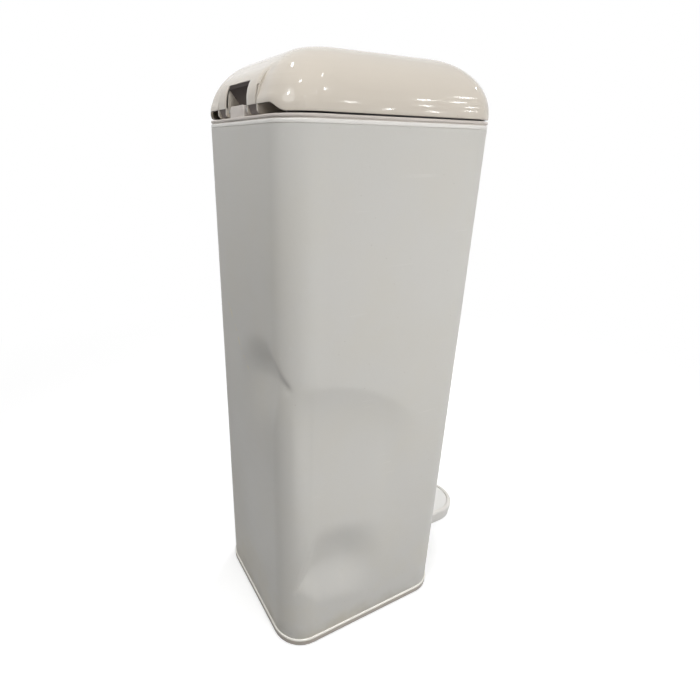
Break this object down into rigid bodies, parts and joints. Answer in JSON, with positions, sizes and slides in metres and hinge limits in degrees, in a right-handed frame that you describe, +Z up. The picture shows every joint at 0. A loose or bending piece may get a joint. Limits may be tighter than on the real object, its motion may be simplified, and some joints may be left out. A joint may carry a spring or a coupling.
{
  "type": "pedal nappy bin",
  "caption": "Tall pedal-operated nappy bin: painted steel body on a plastic base, domed hinged lid, lift-out bucket and a linked foot pedal.",
  "frame": {"origin": "on the floor, at the middle of the body's footprint (the pedal isn't counted)", "axes": "+Z up; -Y towards the front, where the pedal is; +Y towards the back, where the lid's hinge is; +X to the right of somebody who stands at the pedal and faces the bin"},
  "size_m": [0.2024, 0.3322, 0.637],
  "materials": {
    "body_paint": "satin",
    "lid_plastic": "gloss",
    "white_plastic": "gloss",
    "pad_plastic": "satin",
    "bucket_plastic": "satin",
    "liner_plastic": "satin",
    "foot_rubber": "matte",
    "seal_rubber": "matte",
    "filter_foam": "matte",
    "plated_steel": "satin",
    "lever_steel": "satin"
  },
  "bodies": {
    "bin_body": {"foot_ring": "foot_rubber", "base_ring": "white_plastic", "base_plate": "white_plastic", "pivot_bracket": "white_plastic", "rod_guide": "white_plastic", "base_screws": "plated_steel", "steel_body": "body_paint", "slot_bezel": "white_plastic", "edge_band": "white_plastic", "collar": "lid_plastic", "inner_bucket": "bucket_plastic", "bag_ring": "white_plastic", "hinge_pin": "plated_steel", "pedal_pin": "plated_steel", "pedal_pin_clips": "plated_steel"},
    "lid": {"lid_shell": "lid_plastic", "lid_liner": "liner_plastic", "liner_screws": "plated_steel", "lid_gasket": "seal_rubber", "filter_disc": "filter_foam", "crank_pin": "plated_steel"},
    "filter_cap": {"filter_cover": "liner_plastic"},
    "rod": {"push_rod": "plated_steel", "rod_head": "white_plastic", "rod_clip": "plated_steel"},
    "pedal": {"pedal": "white_plastic", "pedal_pad": "pad_plastic", "pedal_lever": "lever_steel", "pedal_screws": "plated_steel"}
  },
  "joints": [
    {"name": "lid_hinge", "type": "hinge", "parent": "bin_body", "child": "lid", "pos_m": [0, 0.1094, 0.5895], "axis": [-1, 0, 0], "range_deg": [0, 80]},
    {"name": "pedal_pivot", "type": "hinge", "parent": "bin_body", "child": "pedal", "pos_m": [0, -0.045, 0.024], "axis": [1, 0, 0], "range_deg": [0, 8.39]},
    {"name": "rod_slide", "type": "slide", "parent": "bin_body", "child": "rod", "axis": [0, 0, 1], "range_m": [0, 0.02057]},
    {"name": "filter_cap_twist", "type": "hinge", "parent": "lid", "child": "filter_cap", "pos_m": [0, -0.013, 0.5895], "axis": [0, 0, 1], "range_deg": [0, 30]}
  ],
  "couplings": [
    {"joint": "pedal_pivot", "follows": "lid_hinge", "ratio": 0.10483},
    {"joint": "rod_slide", "follows": "lid_hinge", "m_per_rad": 0.014732}
  ]
}
